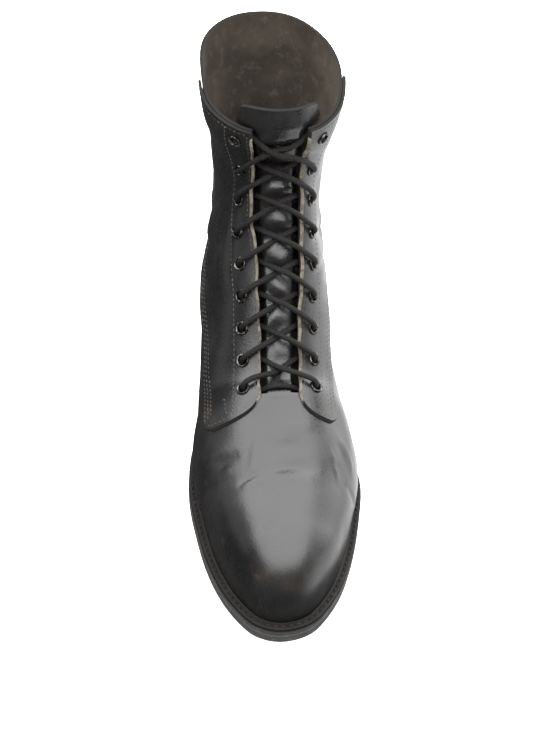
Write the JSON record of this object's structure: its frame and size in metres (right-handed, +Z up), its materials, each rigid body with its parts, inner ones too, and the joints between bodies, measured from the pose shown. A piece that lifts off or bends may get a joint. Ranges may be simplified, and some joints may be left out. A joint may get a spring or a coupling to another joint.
{
  "type": "combat boot",
  "caption": "Worn black leather combat boot for the left foot: plain toe, laced quarters over a tongue, tall shaft, welted rubber sole with a separate heel.",
  "frame": {"origin": "middle of the heel's underside, on the floor", "axes": "+Y to the heel's back, the toe points to -Y; +X is the outer (lateral) side; +Z up"},
  "size_m": [0.1072, 0.308, 0.2351],
  "materials": {
    "leather": "satin",
    "rubber": "matte",
    "welt": "matte",
    "insole": "matte",
    "metal": "satin",
    "lace": "matte"
  },
  "bodies": {
    "root": {"eyelet_lateral_1": "metal", "eyelet_lateral_2": "metal", "eyelet_lateral_3": "metal", "eyelet_lateral_4": "metal", "eyelet_lateral_5": "metal", "eyelet_lateral_6": "metal", "eyelet_lateral_7": "metal", "eyelet_lateral_8": "metal", "eyelet_lateral_9": "metal", "eyelet_medial_1": "metal", "eyelet_medial_2": "metal", "eyelet_medial_3": "metal", "eyelet_medial_4": "metal", "eyelet_medial_5": "metal", "eyelet_medial_6": "metal", "eyelet_medial_7": "metal", "eyelet_medial_8": "metal", "eyelet_medial_9": "metal", "heel": "rubber", "insole": "insole", "lace_bar": "lace", "lace_crossing_1": "lace", "lace_crossing_2": "lace", "lace_crossing_3": "lace", "lace_crossing_4": "lace", "lace_crossing_5": "lace", "lace_crossing_6": "lace", "lace_crossing_7": "lace", "lace_crossing_8": "lace", "midsole": "rubber", "outsole": "rubber", "quarter_lateral": "leather", "quarter_medial": "leather", "tongue": "leather", "upper": "leather", "welt": "welt"}
  },
  "joints": []
}
